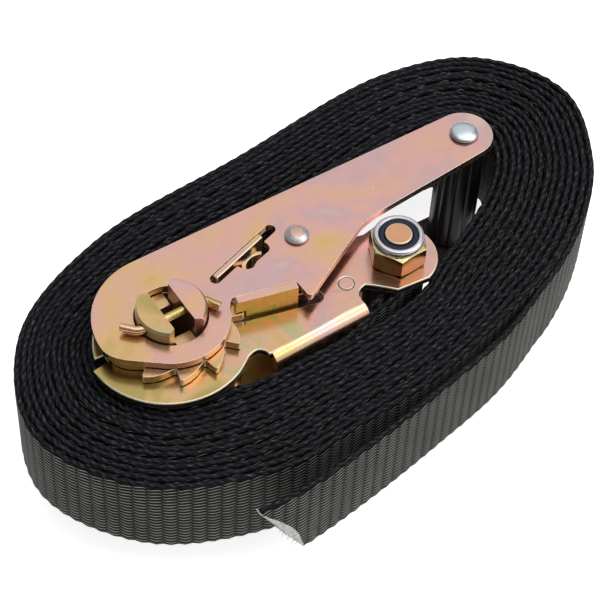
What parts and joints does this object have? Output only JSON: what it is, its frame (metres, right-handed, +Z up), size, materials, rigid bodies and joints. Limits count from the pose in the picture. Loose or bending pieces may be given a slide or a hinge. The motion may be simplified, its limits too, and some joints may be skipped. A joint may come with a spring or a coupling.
{
  "type": "ratchet strap",
  "caption": "Endless ratchet tie-down strap: flat webbing wound in an oblong coil round its own lever ratchet, which can be opened out and its pawls drawn back.",
  "frame": {"origin": "middle of the part's box, on the surface that it lies on", "axes": "+Z up along the mandrel's axis, +X along the coil towards the handle's free end, +Y to the side away from the frame's web"},
  "size_m": [0.178, 0.0922, 0.0484],
  "materials": {
    "chromated_steel": "yellow chromate over zinc, iridescent pink and gold",
    "olive_steel": "yellow chromate, darker olive",
    "zinc_steel": "bright zinc",
    "spring_wire": "plain spring wire",
    "nylon": "dark blue nylon",
    "grip_plastic": "glossy black",
    "webbing": "woven black polyester"
  },
  "bodies": {
    "frame": {"frame_channel": "chromated_steel", "anchor_bolt": "chromated_steel", "nyloc_nut": "chromated_steel", "nylon_insert": "nylon", "bolt_sleeve": "zinc_steel", "spring_stop_pin": "chromated_steel", "locking_pawl_spring": "spring_wire", "webbing_loop": "webbing", "webbing_coil": "webbing", "webbing_tail": "webbing"},
    "handle": {"handle_plate_upper": "chromated_steel", "handle_plate_lower": "chromated_steel", "end_rivet": "zinc_steel", "grip_core": "zinc_steel", "grip_sleeve": "grip_plastic", "cross_rivet": "zinc_steel", "cross_spacer": "zinc_steel", "drive_pawl_spring": "spring_wire"},
    "mandrel": {"mandrel_half_right": "chromated_steel", "mandrel_half_left": "chromated_steel", "ratchet_wheel_upper": "chromated_steel", "ratchet_wheel_lower": "chromated_steel", "cotter_pin_upper": "zinc_steel", "cotter_pin_lower": "zinc_steel"},
    "drive_pawl": {"drive_pawl": "chromated_steel"},
    "locking_pawl": {"locking_pawl": "olive_steel"}
  },
  "joints": [
    {"name": "handle_open", "type": "hinge", "parent": "frame", "child": "handle", "pos_m": [-0.04498, 0.00901, 0.0242], "axis": [0, 0, 1], "range_deg": [0, 165], "deforming": ["webbing_coil"]},
    {"name": "mandrel_spin", "type": "hinge", "parent": "frame", "child": "mandrel", "pos_m": [-0.04498, 0.00901, 0.0242], "axis": [0, 0, 1], "continuous": true},
    {"name": "drive_pawl_draw", "type": "slide", "parent": "handle", "child": "drive_pawl", "axis": [0.988, 0.1547, 0], "range_m": [0, 0.0045], "stiffness_N_per_m": 800, "springref_m": -0.004, "deforming": ["drive_pawl_spring"]},
    {"name": "locking_pawl_lift", "type": "slide", "parent": "frame", "child": "locking_pawl", "axis": [0.9225, -0.3859, 0], "range_m": [0, 0.005], "deforming": ["locking_pawl_spring"]}
  ],
  "couplings": [
    {"joint": "locking_pawl_lift", "follows": "handle_open", "m_per_rad": 0.001736}
  ]
}
